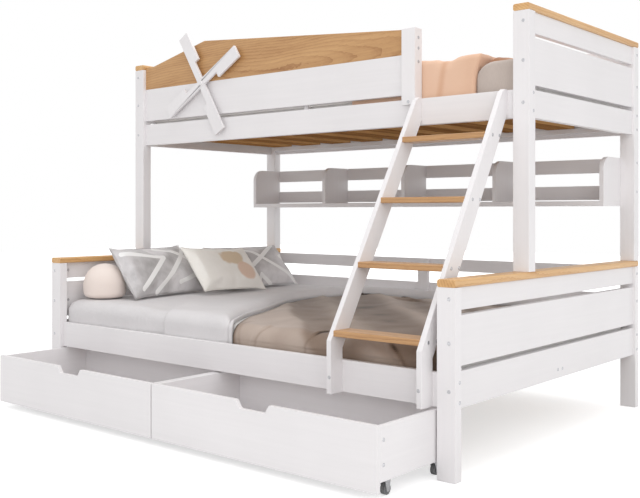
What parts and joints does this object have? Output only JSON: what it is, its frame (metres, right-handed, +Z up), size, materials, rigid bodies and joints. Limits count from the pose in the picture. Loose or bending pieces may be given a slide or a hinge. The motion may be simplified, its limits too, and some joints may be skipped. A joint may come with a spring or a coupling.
{
  "type": "bunk bed",
  "caption": "Bunk bed with a wide lower bed and a narrow upper bed, slanting ladder, rear shelf, rolling drawers and a turning windmill on the guard panel, with bedding.",
  "frame": {"origin": "on the floor, under the middle of the whole piece with its drawers pulled out", "axes": "+X along the bed from the cushion end to the ladder end, +Y from the ladder side to the rear, +Z up"},
  "size_m": [2.075, 1.777, 1.6407],
  "materials": {
    "white_painted_wood": "smooth satin paint over wood",
    "natural_wood": "clear satin lacquer over light wood with straight grain",
    "steel": "zinc plated",
    "caster_rubber": "matt",
    "mattress_cloth": "knitted cover",
    "duvet_cloth": "soft woven cotton",
    "taupe_cloth": "soft woven cotton",
    "grey_taupe_cloth": "soft woven cotton",
    "peach_cloth": "soft woven cotton",
    "grey_cushion_cloth": "woven cloth with white bands",
    "cream_cushion_cloth": "plush cloth",
    "beige_plush": "short plush"
  },
  "bodies": {
    "bed": {"arched_guard_panel": "natural_wood", "beam_legs": "white_painted_wood", "cream_cushion": "cream_cushion_cloth", "duvet": "duvet_cloth", "front_guard_batten": "white_painted_wood", "grey_cushion_left": "grey_cushion_cloth", "grey_cushion_right": "grey_cushion_cloth", "guard_board": "white_painted_wood", "guard_post": "white_painted_wood", "ladder_stiles": "white_painted_wood", "ladder_treads": "natural_wood", "lower_end_boards_left": "white_painted_wood", "lower_end_boards_right": "white_painted_wood", "lower_end_caps": "natural_wood", "lower_guard_batten": "white_painted_wood", "lower_mattress": "mattress_cloth", "lower_posts": "white_painted_wood", "lower_rear_guard_rails": "white_painted_wood", "lower_side_rails": "white_painted_wood", "lower_slats": "natural_wood", "middle_beam": "white_painted_wood", "quilt": "peach_cloth", "round_cushion": "beige_plush", "shelf_back_rails": "white_painted_wood", "shelf_board": "white_painted_wood", "shelf_uprights": "white_painted_wood", "slat_cleats": "white_painted_wood", "spread": "taupe_cloth", "upper_end_boards_left": "white_painted_wood", "upper_end_boards_right": "white_painted_wood", "upper_end_caps": "natural_wood", "upper_front_side_rail": "white_painted_wood", "upper_mattress": "mattress_cloth", "upper_pillow": "grey_taupe_cloth", "upper_posts": "white_painted_wood", "upper_rear_guard_rails": "white_painted_wood", "upper_rear_side_rail": "white_painted_wood", "upper_slats": "natural_wood", "windmill_pin": "steel"},
    "drawer_left": {"drawer_left_front": "white_painted_wood", "drawer_left_sides": "white_painted_wood", "drawer_left_back": "white_painted_wood", "drawer_left_bottom": "white_painted_wood", "drawer_left_caster_forks": "steel"},
    "drawer_right": {"drawer_right_front": "white_painted_wood", "drawer_right_sides": "white_painted_wood", "drawer_right_back": "white_painted_wood", "drawer_right_bottom": "white_painted_wood", "drawer_right_caster_forks": "steel"},
    "drawer_left_wheel_front_left": {"drawer_left_wheel_front_left": "caster_rubber"},
    "drawer_left_wheel_front_right": {"drawer_left_wheel_front_right": "caster_rubber"},
    "drawer_left_wheel_rear_left": {"drawer_left_wheel_rear_left": "caster_rubber"},
    "drawer_left_wheel_rear_right": {"drawer_left_wheel_rear_right": "caster_rubber"},
    "drawer_right_wheel_front_left": {"drawer_right_wheel_front_left": "caster_rubber"},
    "drawer_right_wheel_front_right": {"drawer_right_wheel_front_right": "caster_rubber"},
    "drawer_right_wheel_rear_left": {"drawer_right_wheel_rear_left": "caster_rubber"},
    "drawer_right_wheel_rear_right": {"drawer_right_wheel_rear_right": "caster_rubber"},
    "windmill": {"windmill_front_arm": "white_painted_wood", "windmill_rear_arm": "white_painted_wood", "windmill_hub": "white_painted_wood"}
  },
  "joints": [
    {"name": "drawer_left_slide", "type": "slide", "parent": "bed", "child": "drawer_left", "axis": [0, -1, 0], "range_m": [-0.318, 0.38]},
    {"name": "drawer_left_wheel_front_left_spin", "type": "hinge", "parent": "drawer_left", "child": "drawer_left_wheel_front_left", "pos_m": [-0.9345, -0.8015, 0.017], "axis": [1, 0, 0], "continuous": true},
    {"name": "drawer_left_wheel_front_right_spin", "type": "hinge", "parent": "drawer_left", "child": "drawer_left_wheel_front_right", "pos_m": [-0.0355, -0.8015, 0.017], "axis": [1, 0, 0], "continuous": true},
    {"name": "drawer_left_wheel_rear_left_spin", "type": "hinge", "parent": "drawer_left", "child": "drawer_left_wheel_rear_left", "pos_m": [-0.9345, -0.5355, 0.017], "axis": [1, 0, 0], "continuous": true},
    {"name": "drawer_left_wheel_rear_right_spin", "type": "hinge", "parent": "drawer_left", "child": "drawer_left_wheel_rear_right", "pos_m": [-0.0355, -0.5355, 0.017], "axis": [1, 0, 0], "continuous": true},
    {"name": "drawer_right_slide", "type": "slide", "parent": "bed", "child": "drawer_right", "axis": [0, -1, 0], "range_m": [-0.318, 0.38]},
    {"name": "drawer_right_wheel_front_left_spin", "type": "hinge", "parent": "drawer_right", "child": "drawer_right_wheel_front_left", "pos_m": [0.0355, -0.8015, 0.017], "axis": [1, 0, 0], "continuous": true},
    {"name": "drawer_right_wheel_front_right_spin", "type": "hinge", "parent": "drawer_right", "child": "drawer_right_wheel_front_right", "pos_m": [0.9345, -0.8015, 0.017], "axis": [1, 0, 0], "continuous": true},
    {"name": "drawer_right_wheel_rear_left_spin", "type": "hinge", "parent": "drawer_right", "child": "drawer_right_wheel_rear_left", "pos_m": [0.0355, -0.5355, 0.017], "axis": [1, 0, 0], "continuous": true},
    {"name": "drawer_right_wheel_rear_right_spin", "type": "hinge", "parent": "drawer_right", "child": "drawer_right_wheel_rear_right", "pos_m": [0.9345, -0.5355, 0.017], "axis": [1, 0, 0], "continuous": true},
    {"name": "windmill_spin", "type": "hinge", "parent": "bed", "child": "windmill", "pos_m": [-0.5625, -0.1075, 1.4], "axis": [0, 1, 0], "continuous": true}
  ]
}
